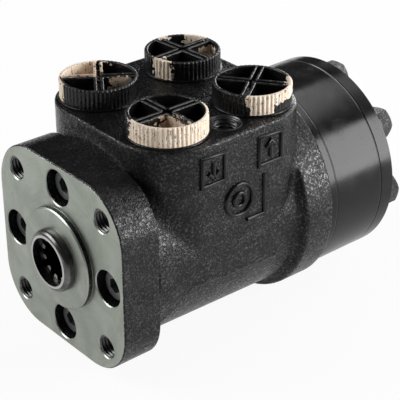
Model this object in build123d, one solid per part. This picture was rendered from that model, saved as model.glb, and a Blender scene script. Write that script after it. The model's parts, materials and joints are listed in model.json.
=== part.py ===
from build123d import *
import os
from math import atan2, cos, degrees, hypot, pi, sin, sqrt

# Orbital steering unit. The shaft axis is X, the mounting face is x = 0, the splined hub points
# to -X and the four ports face +Z. All sizes are in millimetres.

# Fits and clearances
running_fit = 0.05
hole_clearance = 0.2
side_gap = 0.05
seal_gap = 0.25

# Mounting flange, on the front cover
flange_side = 84.2
flange_corner = 23.0
cover_thickness = 17.8
edge_break = 0.5
boss_radius = 22.15
boss_height = 2.6
mount_pitch = 58.34
mount_hole_radius = 5.0
mount_hole_depth = 14.0
mount_hole_chamfer = 0.5
cover_seal_inner = 23.6
seal_width = 2.2
seal_depth = 1.9

# Socket-head screws of the front cover
cover_screw_circle = 31.75
screw_radius = 4.0
cover_screw_grip = 6.3
cover_screw_thread = 14.0
socket_head_radius = 6.5
socket_head_height = 8.0
counterbore_radius = 7.8
counterbore_chamfer = 0.4
screw_hole_run_out = 1.0
socket_flats = 6.0
socket_depth = 4.0

# Steering shaft hub and its internal spline
hub_radius = 13.44
hub_reach = 6.7
hub_nose = 2.4
hub_rim_radius = 10.5
spline_count = 12
hub_spline_root = 10.3
hub_spline_tip = 8.5
hub_tooth_half_root = 1.45
hub_tooth_half_tip = 0.7
tooth_overlap = 0.5
hub_spline_recess = 4.7
hub_spline_length = 16.0
hub_spline_turn = 10.0

# Shaft seal
seal_front = 2.6
seal_length = 3.4
seal_outer = 17.0
backup_length = 1.2

# Needle thrust bearing behind the front cover
bearing_front = 9.8
bearing_inner = 14.4
bearing_outer = 22.0
bearing_side_gap = 0.3
race_thickness = 1.2
rear_race_thickness = 2.5
needle_radius = 1.0
needle_length = 5.4
needle_count = 16
cage_thickness = 1.5

# Valve sleeve and spool
body_bore = 19.0
sleeve_bore = 14.0
spool_shoulder_gap = 0.15
spool_bore = 9.8
spool_end_gap = 2.4
sleeve_end_gap = 0.5
spring_front = 22.0
spring_window = 7.0
spring_leaf = 0.55
spring_half_height = 2.4
spring_end_gap = 0.3
spring_ring_depth = 0.8
pin_x = 37.5
pin_radius = 4.0
spool_swing = 9.0
valve_groove_width = 3.0
valve_groove_depth = 1.3
sleeve_hole_radius = 1.6

# Valve body casting
body_front_radius = 42.4
body_rear_radius = 43.5
rear_flange_radius = 47.2
rear_flange_width = 15.5
cast_edge = 1.6
port_face = 53.0
port_pitch = 45.0
port_wall_radius = 20.0
front_wall = 0.7
rear_wall = 5.5
port_bore_radius = 9.3
port_bore_depth = 16.0
port_chamfer = 1.0
oil_way_radius = 4.0
oil_way_shift = 5.0
oil_groove_width = 5.0
oil_groove_radius = 24.0
pilot_port_y = -31.0
pilot_port_radius = 5.75
pilot_port_depth = 11.0
pilot_port_chamfer = 1.0

# Check valve in the pump port
bush_radius = 5.5
bush_height = 5.0
bush_hole = 2.2
ball_radius = 3.6
ball_room_radius = 4.6
ball_room_height = 7.5
ball_seat_radius = 2.6

# Gear set: seven fixed lobes and a six-lobed rotor that rolls inside them
plate_thickness = 5.0
plate_edge_break = 0.25
gear_width = 27.2
end_cover_thickness = 7.7
gear_radius = 45.24
lobe_count = 7
lobe_circle = 31.5
lobe_radius = 8.7
eccentricity = 3.0
mesh_clearance = 0.1
valley_crowding = 0.6
oil_hole_circle = 26.0
oil_hole_radius = 2.4
oil_hole_depth = 14.0
gear_seal_inner = 41.1
dowel_circle = 37.0
dowel_radius = 2.0
dowel_length = 14.0
dowel_depth = 4.0

# Cardan shaft between the cross pin and the rotor
cardan_radius = 6.3
fork_radius = 8.6
fork_reach = 5.0
fork_length = 16.0
fork_clearance = 0.4
fork_edge = 1.5
drive_spline_length = 16.0
drive_tooth_root = 9.8
drive_tooth_tip = 11.7
drive_half_root = 1.5
drive_half_tip = 0.95
drive_crown = 0.35
drive_clearance = 0.38
drive_root_gap = 0.3
plate_bore = 10.8
spacer_thickness = 4.6

# Bolts of the end cover
bolt_circle = 35.6
bolt_radius = 4.0
bolt_engagement = 14.0
bolt_head_flats = 13.0
bolt_head_height = 7.3
bolt_crown_height = 0.9
bolt_crown_inset = 0.4
washer_radius = 7.9
washer_thickness = 1.8

# Plastic port plugs
plug_radius = 16.5
plug_lip_radius = 17.2
plug_lip = 0.8
plug_height = 9.0
plug_rim = 1.7
plug_shank_radius = 9.0
plug_shank_length = 11.0
plug_wall = 1.8
plug_pocket_depth = 5.5
plug_rib = 1.25
plug_slot = 1.6
plug_corner = 1.0
plug_slot_depth = 3.0
tank_plug_turn = 0.0
left_plug_turn = 55.0
pump_plug_turn = 36.0
right_plug_turn = 4.0

# Positions that follow from the sizes above
port_front_x = cover_thickness + front_wall + port_wall_radius
port_rear_x = port_front_x + port_pitch
body_rear = port_rear_x + port_wall_radius + rear_wall
rear_flange_front = body_rear - rear_flange_width
cover_bore = hub_radius + running_fit
bearing_recess = bearing_outer + bearing_side_gap
cage_front = bearing_front + race_thickness + side_gap
rear_race_front = cage_front + 2 * needle_radius + side_gap
sleeve_front = rear_race_front + rear_race_thickness
sleeve_radius = body_bore - running_fit
spool_radius = sleeve_bore - running_fit
spool_shoulder = bearing_front + spool_shoulder_gap
sleeve_rear = body_rear - sleeve_end_gap
spool_rear = sleeve_rear - spool_end_gap
plate_rear = body_rear + plate_thickness
gear_rear = plate_rear + gear_width
cover_rear = gear_rear + end_cover_thickness
gear_middle = plate_rear + gear_width / 2
port_y = port_pitch / 2
port_floor = port_face - port_bore_depth
bush_floor = port_floor - bush_height
ball_floor = bush_floor - ball_room_height
port_middle_x = (port_front_x + port_rear_x) / 2
lobe_pitch = 360 / lobe_count
rotor_lobes = lobe_count - 1
cavity_radius = lobe_circle - lobe_radius + 2 * eccentricity + 1.5 * mesh_clearance
tank_groove_x = port_front_x - oil_way_shift
left_groove_x = port_front_x + oil_way_shift
pump_groove_x = port_rear_x - oil_way_shift
right_groove_x = port_rear_x + oil_way_shift
cardan_tilt = degrees(atan2(eccentricity, gear_middle - pin_x))


def disc(radius, start, end):
    """Round bar on the shaft axis."""
    return extrude(Plane.YZ.offset(start) * Circle(radius), amount=end - start)


def tube(outer, inner, start, end):
    """Ring on the shaft axis."""
    return extrude(Plane.YZ.offset(start) * (Circle(outer) - Circle(inner)), amount=end - start)


def turned(*outline):
    """Solid turned about the shaft axis from (x, radius) corners."""
    return revolve(make_face(Plane.XZ * Polyline(*outline, close=True)), axis=Axis.X)


def hole_chamfer(radius, size):
    """Cone that bevels the mouth of a hole in the mounting face."""
    return turned((0, 0), (0, radius + size), (size, radius), (size, 0))


def around(shape, count, first=0.0):
    """Copies of a shape spaced evenly about the shaft axis, the first turned from +Z towards -Y."""
    return [Rot(X=first + 360 * k / count) * shape for k in range(count)]


def rod(radius, x, y, bottom, top):
    """Upright round bar."""
    return extrude(Pos(x, y, bottom) * Circle(radius), amount=top - bottom)


def spline_teeth(count, inner, outer, half_inner, half_outer, start, end, turn=0.0):
    """Straight-sided teeth about the shaft axis, narrower towards half_outer."""
    corners = [(-half_inner, inner), (half_inner, inner), (half_outer, outer), (-half_outer, outer)]
    tooth = Polygon(*corners, align=None)
    bar = extrude(Plane.YZ.offset(start) * tooth, amount=end - start)
    return around(bar, count, turn)


def face_seal(inner, face_x, direction):
    """Square seal ring that fills a groove cut back from a flat face."""
    return tube(inner + seal_width, inner, *sorted((face_x, face_x + direction * seal_depth)))


def front_cover():
    square = RectangleRounded(flange_side, flange_side, flange_corner)
    plate = extrude(Plane.YZ * square, amount=cover_thickness)
    plate = chamfer(plate.faces().sort_by(Axis.X)[0].edges(), edge_break)
    boss = chamfer(disc(boss_radius, -boss_height, cover_thickness).edges().sort_by(Axis.X)[0], edge_break)
    hole = disc(mount_hole_radius, 0, mount_hole_depth)
    hole += hole_chamfer(mount_hole_radius, mount_hole_chamfer)
    head_room = cover_thickness - cover_screw_grip
    screw_room = disc(counterbore_radius, 0, head_room)
    screw_room += hole_chamfer(counterbore_radius, counterbore_chamfer)
    screw_room += disc(screw_radius + hole_clearance, 0, cover_thickness)
    seal_end = seal_front + seal_length + backup_length
    reach = mount_pitch / 2
    cuts = [Pos(0, y, z) * hole for y in (-reach, reach) for z in (-reach, reach)]
    cuts += around(Pos(0, 0, cover_screw_circle) * screw_room, 4)
    cuts += [
        disc(cover_bore, -boss_height, cover_thickness),
        disc(bearing_recess, bearing_front, cover_thickness),
        disc(seal_outer, seal_front, seal_end),
        face_seal(cover_seal_inner, cover_thickness, -1),
    ]
    return plate + boss - cuts


def shaft_seal():
    inner = hub_radius + seal_gap
    return tube(seal_outer, inner, seal_front + backup_length, seal_front + backup_length + seal_length)


def backup_ring():
    return tube(seal_outer, hub_radius + seal_gap, seal_front, seal_front + backup_length)


def cover_screws():
    head_seat = cover_thickness - cover_screw_grip
    head = disc(socket_head_radius, head_seat - socket_head_height, head_seat)
    head = chamfer(head.edges().sort_by(Axis.X)[0], edge_break)
    socket = RegularPolygon(socket_flats / 2, 6, major_radius=False)
    head -= extrude(Plane.YZ.offset(head_seat - socket_head_height) * socket, amount=socket_depth)
    screw = head + disc(screw_radius, head_seat, cover_thickness + cover_screw_thread)
    return Compound(around(Pos(0, 0, cover_screw_circle) * screw, 4))


def bearing_race_front():
    return tube(bearing_outer, bearing_inner, bearing_front, bearing_front + race_thickness)


def bearing_race_rear():
    return tube(bearing_outer, bearing_inner, rear_race_front, sleeve_front)


def needle(radius, length):
    middle = (bearing_inner + bearing_outer) / 2
    return Pos(cage_front + needle_radius, 0, middle - length / 2) * extrude(Circle(radius), amount=length)


def bearing_needles():
    return Compound(around(needle(needle_radius, needle_length), needle_count))


def needle_cage():
    inset = (2 * needle_radius - cage_thickness) / 2
    start = cage_front + inset
    ring = tube(bearing_outer - side_gap, bearing_inner + side_gap, start, start + cage_thickness)
    return ring - around(needle(needle_radius + running_fit, needle_length + 2 * running_fit), needle_count)


def valve_body():
    front, rear = (cover_thickness, body_front_radius), (body_rear, body_rear_radius)
    barrel = turned((cover_thickness, 0), front, rear, (body_rear, 0))
    flange = disc(rear_flange_radius, rear_flange_front, body_rear)
    flange = fillet(flange.edges().sort_by(Axis.X)[0], cast_edge)
    block_length = port_pitch + 2 * port_wall_radius
    outline = RectangleRounded(block_length, block_length, port_wall_radius)
    block = extrude(Pos(port_middle_x, 0, 0) * outline, amount=port_face)
    block = fillet(block.faces().sort_by(Axis.Z)[-1].edges(), cast_edge)
    cuts = [disc(body_bore, cover_thickness, body_rear)]
    half_groove = oil_groove_width / 2
    for x in (tank_groove_x, left_groove_x, pump_groove_x, right_groove_x):
        cuts.append(disc(oil_groove_radius, x - half_groove, x + half_groove))
    for x in (port_front_x, port_rear_x):
        for y in (-port_y, port_y):
            cuts.append(rod(port_bore_radius, x, y, port_floor, port_face))
            cuts.append(Pos(x, y, port_face - port_chamfer / 2) * Cone(
                port_bore_radius, port_bore_radius + port_chamfer, port_chamfer))
    cuts += [
        rod(oil_way_radius, tank_groove_x, -port_y, 0, port_floor),
        rod(oil_way_radius, left_groove_x, port_y, 0, port_floor),
        rod(oil_way_radius, right_groove_x, port_y, 0, port_floor),
        rod(ball_seat_radius, pump_groove_x, -port_y, 0, port_floor),
        rod(bush_radius, pump_groove_x, -port_y, bush_floor, port_floor),
        rod(ball_room_radius, pump_groove_x, -port_y, ball_floor, bush_floor),
        rod(pilot_port_radius, port_middle_x, pilot_port_y, port_face - pilot_port_depth, port_face),
        Pos(port_middle_x, pilot_port_y, port_face - pilot_port_chamfer / 2) * Cone(
            pilot_port_radius, pilot_port_radius + pilot_port_chamfer, pilot_port_chamfer),
    ]
    screw_hole_end = cover_thickness + cover_screw_thread + screw_hole_run_out
    screw_hole = disc(screw_radius, cover_thickness, screw_hole_end)
    cuts += around(Pos(0, 0, cover_screw_circle) * screw_hole, 4)
    bolt_hole = disc(bolt_radius, body_rear - bolt_engagement - screw_hole_run_out, body_rear)
    cuts += around(Pos(0, 0, bolt_circle) * bolt_hole, lobe_count)
    oil_hole = disc(oil_hole_radius, body_rear - oil_hole_depth, body_rear)
    cuts += around(Pos(0, 0, oil_hole_circle) * oil_hole, lobe_count)
    cuts += [face_seal(gear_seal_inner, body_rear, -1), dowel_pin()]
    return barrel + flange + block - cuts


def check_valve_bush():
    bush = rod(bush_radius, pump_groove_x, -port_y, bush_floor, port_floor)
    return bush - rod(bush_hole, pump_groove_x, -port_y, bush_floor, port_floor)


def check_ball():
    rise = sqrt(ball_radius**2 - ball_seat_radius**2)
    return Pos(pump_groove_x, -port_y, ball_floor + rise + side_gap) * Sphere(ball_radius)


def sleeve():
    shell = tube(sleeve_radius, sleeve_bore, sleeve_front, sleeve_rear)
    window = Pos(spring_front + spring_window / 2, 0, 0) * Box(
        spring_window, 2 * body_bore, 2 * (spring_half_height + spring_end_gap))
    pin_hole = Pos(pin_x, 0, 0) * Rot(X=90) * Cylinder(pin_radius, 2 * body_bore)
    groove_start, groove_end = spring_front - spring_end_gap, spring_front + spring_window + spring_end_gap
    ring_groove = tube(body_bore, sleeve_radius - spring_ring_depth, groove_start, groove_end)
    cuts = [window, pin_hole, ring_groove]
    feed_hole = rod(sleeve_hole_radius, port_middle_x, 0, 0, body_bore)
    cuts += around(feed_hole, 2 * rotor_lobes)
    for x in (left_groove_x + valve_groove_width, pump_groove_x):
        cuts += around(Pos(x - port_middle_x, 0, 0) * feed_hole, rotor_lobes, 180 / rotor_lobes)
    return shell - cuts


def spring_ring():
    inner = sleeve_radius - spring_ring_depth
    return tube(inner + spring_ring_depth - running_fit, inner, spring_front, spring_front + spring_window)


def spool():
    hub = disc(hub_radius, -hub_reach, spool_shoulder)
    hub = fillet(hub.edges().sort_by(Axis.X)[0], hub_nose) + disc(spool_radius, spool_shoulder, spool_rear)
    spline_front = hub_spline_recess - hub_reach
    spline_end = spline_front + hub_spline_length
    teeth = spline_teeth(
        spline_count, hub_spline_tip, hub_spline_root + tooth_overlap,
        hub_tooth_half_tip, hub_tooth_half_root, spline_front, spline_end, hub_spline_turn)
    socket = disc(hub_rim_radius, -hub_reach, spline_front)
    socket += disc(hub_spline_root, spline_front, spline_end) - teeth
    swing = spool_radius * sin(spool_swing * pi / 180)
    window = Pos(spring_front + spring_window / 2, 0, 0) * Box(
        spring_window, 2 * body_bore, 2 * (spring_half_height + spring_end_gap + swing))
    pin_hole = Pos(pin_x, 0, 0) * Rot(X=90) * Cylinder(pin_radius + swing + spring_end_gap, 2 * body_bore)
    cuts = [socket, disc(spool_bore, spline_end, spool_rear), window, pin_hole]
    slot = Pos(0, 0, spool_radius) * Box(port_pitch / 2, valve_groove_width, 2 * valve_groove_depth)
    cuts += around(Pos(port_middle_x, 0, 0) * slot, rotor_lobes)
    cuts += around(Pos(pump_groove_x - valve_groove_width, 0, 0) * slot, rotor_lobes, 180 / rotor_lobes)
    return hub - cuts


def cross_pin():
    half_length = sqrt(sleeve_radius**2 - pin_radius**2) - spring_end_gap
    return Pos(pin_x, 0, 0) * Rot(X=90) * Cylinder(pin_radius, 2 * half_length)


def leaf_springs():
    half_span = sleeve_radius - spring_ring_depth - spring_end_gap
    width = spring_window - 2 * spring_end_gap
    start = spring_front + spring_end_gap
    leaves = []
    for side in (-1, 1):
        low = Pos(0, side * spring_leaf / 2) * Rectangle(2 * half_span, spring_leaf)
        leaves.append(extrude(Plane.YZ.offset(start) * low, amount=width))
        for layer in (0, 1):
            middle = spring_leaf * (1 + layer)
            tip = spring_half_height - spring_leaf * (2 - layer)
            bow = ThreePointArc((-half_span, side * tip), (0, side * middle), (half_span, side * tip))
            back = Pos(0, side * spring_leaf) * bow
            ends = [Line(bow @ 0, back @ 0), Line(bow @ 1, back @ 1)]
            leaf = make_face([bow, back, *ends])
            leaves.append(extrude(Plane.YZ.offset(start) * leaf, amount=width))
    return Compound(leaves)


def cardan_shaft():
    front = pin_x - fork_reach
    rear = gear_middle + drive_spline_length / 2
    shaft = disc(fork_radius, front, front + fork_length) + disc(cardan_radius, front, rear)
    shaft = fillet(shaft.edges().filter_by(GeomType.CIRCLE).sort_by(Axis.X)[0], fork_edge)
    head_front = rear - drive_spline_length
    head = disc(drive_tooth_root, head_front, rear)
    head += spline_teeth(
        spline_count, drive_tooth_root - tooth_overlap, drive_tooth_tip,
        drive_half_root, drive_half_tip, head_front, rear)
    ends = drive_tooth_tip - drive_crown
    crown = make_face([
        Plane.XZ * ThreePointArc((head_front, ends), (gear_middle, drive_tooth_tip), (rear, ends)),
        Plane.XZ * Polyline((rear, ends), (rear, 0), (head_front, 0), (head_front, ends)),
    ])
    shaft += head & revolve(crown, axis=Axis.X)
    half_slot = pin_radius + fork_clearance
    slot_length = pin_x + half_slot - front
    shaft -= Pos(front + slot_length / 2, 0, 0) * Box(slot_length, 2 * fork_radius, 2 * half_slot)
    return Pos(pin_x, 0, 0) * Rot(Y=cardan_tilt) * Pos(-pin_x, 0, 0) * shaft


def distributor_plate():
    plate = disc(gear_radius, body_rear, plate_rear)
    plate = chamfer(plate.edges().sort_by(Axis.X)[0], plate_edge_break)
    cuts = [disc(plate_bore, body_rear, plate_rear), dowel_pin()]
    bolt_hole = disc(bolt_radius + hole_clearance, body_rear, plate_rear)
    oil_hole = disc(oil_hole_radius, body_rear, plate_rear)
    cuts += around(Pos(0, 0, bolt_circle) * bolt_hole, lobe_count)
    cuts += around(Pos(0, 0, oil_hole_circle) * oil_hole, lobe_count)
    return plate - cuts


def gerotor_ring():
    lobe = Pos(0, lobe_circle) * Circle(lobe_radius)
    lobes = [Rot(Z=lobe_pitch * (k + 0.5)) * lobe for k in range(lobe_count)]
    section = Circle(gear_radius) - (Circle(cavity_radius) - lobes)
    ring = extrude(Plane.YZ.offset(plate_rear) * section, amount=gear_width)
    cuts = [face_seal(gear_seal_inner, plate_rear, 1), face_seal(gear_seal_inner, gear_rear, -1)]
    cuts.append(dowel_pin())
    bolt_hole = disc(bolt_radius + hole_clearance, plate_rear, gear_rear)
    cuts += around(Pos(0, 0, bolt_circle) * bolt_hole, lobe_count)
    return ring - cuts


def rotor_outline(samples=10):
    """Curve that stays lobe_radius clear of every lobe centre as the rotor rolls round the ring.

    A lobe centre seen from the rotor follows C(u) = R e^(iu) - e e^(i7u), and the outline is
    that path moved inwards by the lobe radius and the clearance. The uneven step keeps the
    points evenly spaced through the tight valleys.
    """
    inset = lobe_radius + mesh_clearance
    points = []
    for k in range(samples * rotor_lobes):
        s = 2 * pi * k / (samples * rotor_lobes)
        u = s - valley_crowding * sin(rotor_lobes * s) / rotor_lobes
        path_x = lobe_circle * cos(u) - eccentricity * cos(lobe_count * u)
        path_y = lobe_circle * sin(u) - eccentricity * sin(lobe_count * u)
        run_x = -lobe_circle * sin(u) + lobe_count * eccentricity * sin(lobe_count * u)
        run_y = lobe_circle * cos(u) - lobe_count * eccentricity * cos(lobe_count * u)
        run = hypot(run_x, run_y)
        points.append((path_x - inset * run_y / run, path_y + inset * run_x / run))
    return make_face(Spline(points, periodic=True))


def rotor():
    profile = Rot(Z=-90) * rotor_outline()
    bore = Circle(drive_tooth_root + drive_clearance + drive_root_gap)
    space = Polygon(
        (-drive_half_root - drive_clearance, drive_tooth_root),
        (drive_half_root + drive_clearance, drive_tooth_root),
        (drive_half_tip + drive_clearance, drive_tooth_tip + drive_clearance),
        (-drive_half_tip - drive_clearance, drive_tooth_tip + drive_clearance),
        align=None,
    )
    bore += [Rot(Z=360 * k / spline_count) * space for k in range(spline_count)]
    section = Pos(0, -eccentricity) * (profile - bore)
    return extrude(Plane.YZ.offset(plate_rear + side_gap) * section, amount=gear_width - 2 * side_gap)


def rotor_spacer():
    end = gear_rear - side_gap
    return Pos(0, 0, -eccentricity) * disc(drive_tooth_root, end - spacer_thickness, end)


def end_cover():
    cover = disc(gear_radius, gear_rear, cover_rear)
    cover = chamfer(cover.edges(), edge_break)
    hole = disc(bolt_radius + hole_clearance, gear_rear, cover_rear)
    return cover - around(Pos(0, 0, bolt_circle) * hole, lobe_count)


def end_bolts():
    seat = cover_rear + washer_thickness
    top = seat + bolt_head_height
    hexagon = RegularPolygon(bolt_head_flats / 2, 6, major_radius=False)
    head = extrude(Plane.YZ.offset(seat) * hexagon, amount=bolt_head_height)
    corner = bolt_head_flats / sqrt(3)
    crown = (top - bolt_crown_height, corner), (top, bolt_head_flats / 2 - bolt_crown_inset)
    rounding = turned((seat, 0), (seat, corner), *crown, (top, 0))
    bolt = (head & rounding) + disc(bolt_radius, body_rear - bolt_engagement, seat)
    return Compound(around(Pos(0, 0, bolt_circle) * bolt, lobe_count))


def bolt_washers():
    washer = tube(washer_radius, bolt_radius + hole_clearance, cover_rear, cover_rear + washer_thickness)
    return Compound(around(Pos(0, 0, bolt_circle) * washer, lobe_count))


def dowel_pin():
    start = body_rear - dowel_depth
    return Rot(X=lobe_pitch / 2) * Pos(0, 0, dowel_circle) * disc(dowel_radius, start, start + dowel_length)


def port_plug(x, y, turn):
    """Plug with a rimmed head, a crossed pair of screwdriver slots between ribs, and a hollow shank."""
    top = port_face + plug_height
    plug = rod(plug_radius, x, y, port_face, top)
    plug += rod(plug_lip_radius, x, y, port_face, port_face + plug_lip)
    well = plug_radius - plug_rim
    arm = plug_slot / 2 + plug_rib
    cross = Rectangle(2 * plug_radius, 2 * arm) + Rectangle(2 * arm, 2 * plug_radius)
    pockets = Circle(well) - cross
    pockets = fillet(pockets.vertices(), plug_corner)
    slots = Rectangle(2 * well, plug_slot) + Rectangle(plug_slot, 2 * well)
    plug -= extrude(Pos(x, y, top - plug_pocket_depth) * Rot(Z=turn) * pockets, amount=plug_pocket_depth)
    plug -= extrude(Pos(x, y, top - plug_slot_depth) * Rot(Z=turn) * slots, amount=plug_slot_depth)
    plug += rod(plug_shank_radius, x, y, port_face - plug_shank_length, port_face)
    hollow = plug_shank_radius - plug_wall
    return plug - rod(hollow, x, y, port_face - plug_shank_length, port_face)


pieces = {
    "front_cover": front_cover(),
    "cover_screws": cover_screws(),
    "cover_seal": face_seal(cover_seal_inner, cover_thickness, -1),
    "shaft_seal": shaft_seal(),
    "backup_ring": backup_ring(),
    "bearing_race_front": bearing_race_front(),
    "needle_cage": needle_cage(),
    "bearing_needles": bearing_needles(),
    "bearing_race_rear": bearing_race_rear(),
    "valve_body": valve_body(),
    "check_valve_bush": check_valve_bush(),
    "check_ball": check_ball(),
    "sleeve": sleeve(),
    "spring_ring": spring_ring(),
    "leaf_springs": leaf_springs(),
    "cross_pin": cross_pin(),
    "spool": spool(),
    "cardan_shaft": cardan_shaft(),
    "body_seal": face_seal(gear_seal_inner, body_rear, -1),
    "distributor_plate": distributor_plate(),
    "ring_front_seal": face_seal(gear_seal_inner, plate_rear, 1),
    "gerotor_ring": gerotor_ring(),
    "rotor": rotor(),
    "rotor_spacer": rotor_spacer(),
    "ring_rear_seal": face_seal(gear_seal_inner, gear_rear, -1),
    "dowel_pin": dowel_pin(),
    "end_cover": end_cover(),
    "bolt_washers": bolt_washers(),
    "end_bolts": end_bolts(),
    "port_plug_tank": port_plug(port_front_x, -port_y, tank_plug_turn),
    "port_plug_left": port_plug(port_front_x, port_y, left_plug_turn),
    "port_plug_pump": port_plug(port_rear_x, -port_y, pump_plug_turn),
    "port_plug_right": port_plug(port_rear_x, port_y, right_plug_turn),
}

os.makedirs("parts", exist_ok=True)
for name, shape in pieces.items():
    export_step(shape, f"parts/{name}.step")
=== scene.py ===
import json
import math
import bpy
import numpy as np
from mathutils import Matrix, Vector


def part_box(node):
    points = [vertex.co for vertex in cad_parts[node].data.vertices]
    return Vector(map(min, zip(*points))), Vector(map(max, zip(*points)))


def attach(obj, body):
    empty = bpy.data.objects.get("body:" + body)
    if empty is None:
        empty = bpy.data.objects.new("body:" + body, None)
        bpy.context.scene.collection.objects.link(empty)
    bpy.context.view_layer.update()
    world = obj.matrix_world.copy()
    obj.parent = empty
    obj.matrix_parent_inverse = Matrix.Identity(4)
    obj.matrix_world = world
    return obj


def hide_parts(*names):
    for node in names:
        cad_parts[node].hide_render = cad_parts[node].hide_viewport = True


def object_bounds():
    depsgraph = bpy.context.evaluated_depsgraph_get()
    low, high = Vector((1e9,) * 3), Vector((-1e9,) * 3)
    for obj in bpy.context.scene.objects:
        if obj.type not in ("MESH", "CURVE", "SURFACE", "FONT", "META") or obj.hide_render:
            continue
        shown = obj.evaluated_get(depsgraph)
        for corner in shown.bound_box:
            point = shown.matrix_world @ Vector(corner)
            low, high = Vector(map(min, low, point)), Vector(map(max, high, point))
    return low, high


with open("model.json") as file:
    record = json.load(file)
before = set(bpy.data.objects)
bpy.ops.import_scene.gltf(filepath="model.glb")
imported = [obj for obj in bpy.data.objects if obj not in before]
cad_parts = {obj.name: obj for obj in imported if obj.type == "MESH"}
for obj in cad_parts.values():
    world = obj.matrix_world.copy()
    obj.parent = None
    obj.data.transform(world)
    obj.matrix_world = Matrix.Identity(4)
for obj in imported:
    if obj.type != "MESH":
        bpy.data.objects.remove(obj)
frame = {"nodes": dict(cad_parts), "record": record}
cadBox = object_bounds()
nodes = frame["nodes"]
mm = 0.001


class Wire:
    # a socket in a node tree; an expression on it adds its Math nodes
    def __init__(self, tree, socket):
        self.tree = tree
        self.socket = socket

    def sum(self, operation, first, second=None):
        node = self.tree.nodes.new("ShaderNodeMath")
        node.operation = operation
        for index, value in enumerate((first, second)):
            if isinstance(value, Wire):
                self.tree.links.new(value.socket, node.inputs[index])
            elif value is not None:
                node.inputs[index].default_value = value
        return Wire(self.tree, node.outputs[0])

    def __add__(self, other):
        return self.sum("ADD", self, other)

    def __sub__(self, other):
        return self.sum("SUBTRACT", self, other)

    def __rsub__(self, other):
        return self.sum("SUBTRACT", other, self)

    def __mul__(self, other):
        return self.sum("MULTIPLY", self, other)

    def __gt__(self, other):
        return self.sum("GREATER_THAN", self, other)

    def __lt__(self, other):
        return self.sum("LESS_THAN", self, other)

    def most(self, other):
        return self.sum("MAXIMUM", self, other)

    def least(self, other):
        return self.sum("MINIMUM", self, other)

    def size(self):
        return self.sum("ABSOLUTE", self)

    def root(self):
        return self.sum("SQRT", self)

    def angle(self, across):
        return self.sum("ARCTAN2", self, across)

    def hypot(self, other):
        return (self * self + other * other).root()

    __radd__ = __add__
    __rmul__ = __mul__


class Finish:
    # one material, or the world: every node but the Math nodes comes from add()
    def __init__(self, name, world=None):
        holder = world or bpy.data.materials.new(name)
        holder.use_nodes = True
        self.material = holder
        self.tree = holder.node_tree
        self.tree.nodes.clear()

    def add(self, kind, settings=None, inputs=None, out=0):
        node = self.tree.nodes.new(kind)
        for key, value in (settings or {}).items():
            setattr(node, key, value)
        for key, value in (inputs or {}).items():
            if isinstance(value, Wire):
                self.tree.links.new(value.socket, node.inputs[key])
            elif isinstance(value, tuple) and len(value) == 3 and len(node.inputs[key].default_value) == 4:
                node.inputs[key].default_value = (*value, 1)
            else:
                node.inputs[key].default_value = value
        return Wire(self.tree, node.outputs[out]) if node.outputs else None

    def place(self):
        return self.add("ShaderNodeTexCoord", out="Object")

    def axes(self, vector):
        split = self.add("ShaderNodeSeparateXYZ", inputs={"Vector": vector})
        return split, *(Wire(self.tree, split.socket.node.outputs[k]) for k in (1, 2))

    def stretch(self, vector, scale, move=(0, 0, 0)):
        return self.add("ShaderNodeMapping", inputs={"Vector": vector, "Scale": scale, "Location": move})

    def noise(self, vector, scale, detail=2.0, rough=0.5, warp=0.0):
        return self.add("ShaderNodeTexNoise", inputs={
            "Vector": vector, "Scale": scale, "Detail": detail, "Roughness": rough, "Distortion": warp})

    def spread(self, value, low=0.3, high=0.7, start=0.0, end=1.0):
        # the value's range from low to high eased to start and end; a noise lies mostly between 0.3 and 0.7
        return self.add("ShaderNodeMapRange", {"clamp": True, "interpolation_type": "SMOOTHSTEP"}, {
            "Value": value, "From Min": low, "From Max": high, "To Min": start, "To Max": end})

    def between(self, value, ends):
        return self.spread(value, start=ends[0], end=ends[1])

    def blend(self, mask, first, second):
        return self.add("ShaderNodeMix", {"data_type": "RGBA"}, {0: mask, 6: first, 7: second}, out=2)

    def bump(self, height, depth, strength=1.0, below=None):
        inputs = {"Height": height, "Distance": depth * mm, "Strength": strength}
        if below is not None:
            inputs["Normal"] = below
        return self.add("ShaderNodeBump", inputs=inputs)

    def principled(self, inputs):
        return self.add("ShaderNodeBsdfPrincipled", inputs=inputs)

    def surface(self, shader):
        self.add("ShaderNodeOutputMaterial", inputs={"Surface": shader})
        return self.material


# in the dictionaries of finishes a noise is its scale, detail, roughness and distortion, depths are in mm,
# and a pair is the two ends of a range
castLook = {
    "ripple": (150, 2.0, 0.5), "grain": (900, 2.0, 0.6, 0.5), "grit": (2200, 1.0, 0.5),
    "rippleHeight": 0.6, "gritHeight": 0.3, "depth": 0.50,
    "dark": (0.0050, 0.0052, 0.0056), "pale": (0.0100, 0.0104, 0.0110), "tintFrom": (0.35, 0.7),
    "rough": (0.24, 0.13), "ior": 1.28,
    "speckGrit": 0.5, "specks": (0.76, 0.95, 0.03, 1.0), "speckDrift": (0.3, 0.6, 0.6, 1.0),
    "coatRough": 0.31, "coatIor": 1.6,
}


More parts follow.
